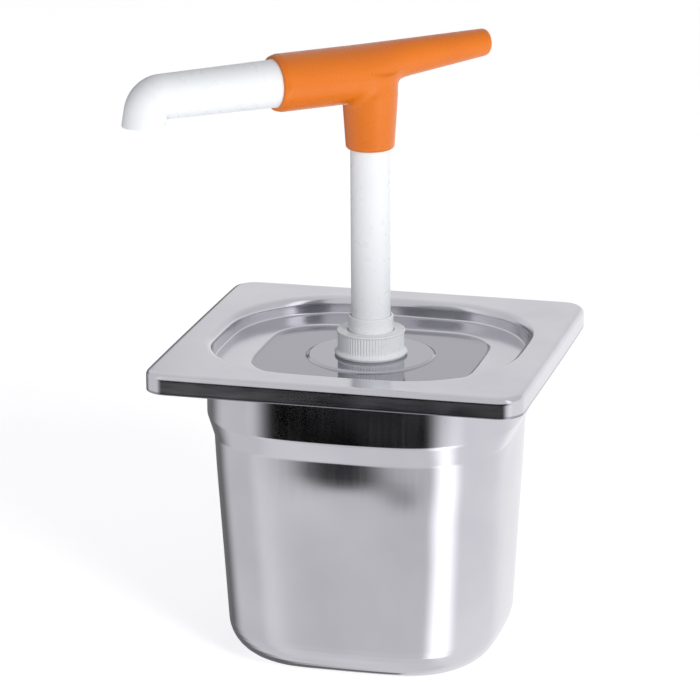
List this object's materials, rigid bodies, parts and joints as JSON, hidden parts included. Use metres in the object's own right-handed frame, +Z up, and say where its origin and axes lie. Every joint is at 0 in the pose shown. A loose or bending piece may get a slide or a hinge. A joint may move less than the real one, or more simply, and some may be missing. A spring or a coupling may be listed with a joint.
{
  "type": "condiment pump dispenser",
  "caption": "Counter-top sauce dispenser: a deep stainless gastronorm pan under a recessed lid with a sprung plunger pump, tapered grip handle and bent spout.",
  "frame": {"origin": "centre of the pan's flat base, on the pump's axis", "axes": "+Z up along the pump's stroke, X along the pan's 176 mm side, Y along its 162 mm side; the head points its spout to 222 degrees from +X at rest"},
  "size_m": [0.1823, 0.1669, 0.2915],
  "materials": {
    "stainless_steel": "satin drawn sheet, polished inside the lid's recess",
    "white_plastic": "injection moulded, semi-gloss",
    "orange_plastic": "injection moulded, glossy",
    "clear_plastic": "milky extruded tube",
    "silicone": "food grade silicone, matt",
    "black_rubber": "nitrile cord ring",
    "spring_steel": "bright drawn stainless wire"
  },
  "bodies": {
    "container": {"pan": "stainless_steel"},
    "pump_body": {"lid": "stainless_steel", "barrel_gasket": "silicone", "collar_nut": "white_plastic", "stem_guide": "white_plastic", "stem_wiper": "black_rubber", "pump_barrel": "white_plastic", "foot_valve_seat": "white_plastic", "foot_valve_ring": "black_rubber", "ball_cage": "white_plastic", "spring_washer": "spring_steel", "dip_tube": "clear_plastic", "return_spring": "spring_steel"},
    "plunger": {"plunger_stem": "white_plastic", "piston": "white_plastic", "piston_seal": "silicone", "discharge_ball_stop": "white_plastic", "stem_ring": "black_rubber"},
    "head": {"handle": "orange_plastic", "spout": "white_plastic", "spout_ring": "black_rubber"},
    "lower_valve": {"suction_ball": "spring_steel"},
    "upper_valve": {"discharge_ball": "spring_steel"}
  },
  "joints": [
    {"name": "lid_lift", "type": "slide", "parent": "container", "child": "pump_body", "axis": [0, 0, 1], "range_m": [0, 0.16]},
    {"name": "plunger_slide", "type": "slide", "parent": "pump_body", "child": "plunger", "axis": [0, 0, -1], "range_m": [0, 0.069], "stiffness_N_per_m": 150, "springref_m": -0.02, "deforming": ["return_spring"]},
    {"name": "head_swivel", "type": "hinge", "parent": "plunger", "child": "head", "pos_m": [0, 0, 0.2772], "axis": [0, 0, 1], "continuous": true},
    {"name": "suction_ball_lift", "type": "slide", "parent": "pump_body", "child": "lower_valve", "axis": [0, 0, 1], "range_m": [0, 0.003]},
    {"name": "discharge_ball_lift", "type": "slide", "parent": "plunger", "child": "upper_valve", "axis": [0, 0, 1], "range_m": [0, 0.003]}
  ]
}
